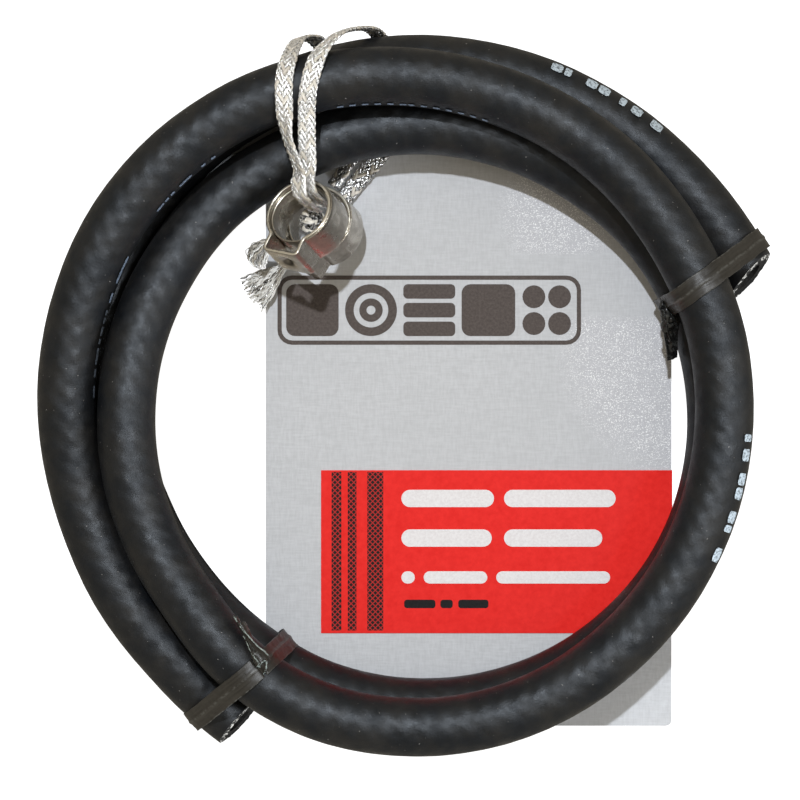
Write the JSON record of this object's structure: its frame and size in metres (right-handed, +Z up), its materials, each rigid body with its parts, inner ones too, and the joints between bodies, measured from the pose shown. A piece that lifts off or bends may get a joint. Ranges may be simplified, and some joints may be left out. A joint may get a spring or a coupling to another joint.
{
  "type": "floor pump hose kit",
  "caption": "Coiled rubber pump hose tied on a backing card, with one-ear hose clamps hanging on a silver cord.",
  "frame": {"origin": "middle of the bounding box at the level of the surface the set lies on", "axes": "+Z up from the surface, out of the card's face; +Y towards the card's top edge; +X to the right as the card is read"},
  "size_m": [0.1298, 0.1284, 0.0254],
  "materials": {
    "hose_rubber": "matt black extruded rubber",
    "braid_textile": "white textile reinforcement",
    "lining_rubber": "smooth black rubber",
    "grey_board": "grey packing board",
    "linen_paper": "pale grey linen-embossed paper",
    "red_label": "coated red paper",
    "stainless_steel": "satin stainless strip",
    "silver_thread": "flat braid of metallised thread",
    "tie_plastic": "dark plastic strip",
    "tie_wire": "soft wire"
  },
  "bodies": {
    "hose_on_card": {"hose_cover": "hose_rubber", "hose_braid": "braid_textile", "hose_liner": "lining_rubber", "card_back_paper": "linen_paper", "card_board": "grey_board", "card_front_paper": "linen_paper", "card_label": "red_label", "cord_strand_right": "silver_thread", "cord_strand_left": "silver_thread", "cord_knot": "silver_thread", "cord_tassel_upper": "silver_thread", "cord_tassel_lower": "silver_thread", "right_tie_strap": "tie_plastic", "right_tie_wire": "tie_wire", "right_tie_twist": "tie_plastic", "left_tie_strap": "tie_plastic", "left_tie_wire": "tie_wire", "left_tie_twist": "tie_plastic"},
    "upper_clamp": {"upper_clamp_band": "stainless_steel", "upper_clamp_insert": "stainless_steel"},
    "lower_clamp": {"lower_clamp_band": "stainless_steel", "lower_clamp_insert": "stainless_steel"}
  },
  "joints": [
    {"name": "upper_clamp_turn", "type": "hinge", "parent": "hose_on_card", "child": "upper_clamp", "pos_m": [-0.01773, 0.02937, 0.0169], "axis": [0.4255, -0.4435, -0.7889], "range_deg": [-15, 15]},
    {"name": "lower_clamp_turn", "type": "hinge", "parent": "hose_on_card", "child": "lower_clamp", "pos_m": [-0.01508, 0.02877, 0.0082], "axis": [0.3051, -0.2681, -0.9138], "range_deg": [-20, 20]}
  ]
}
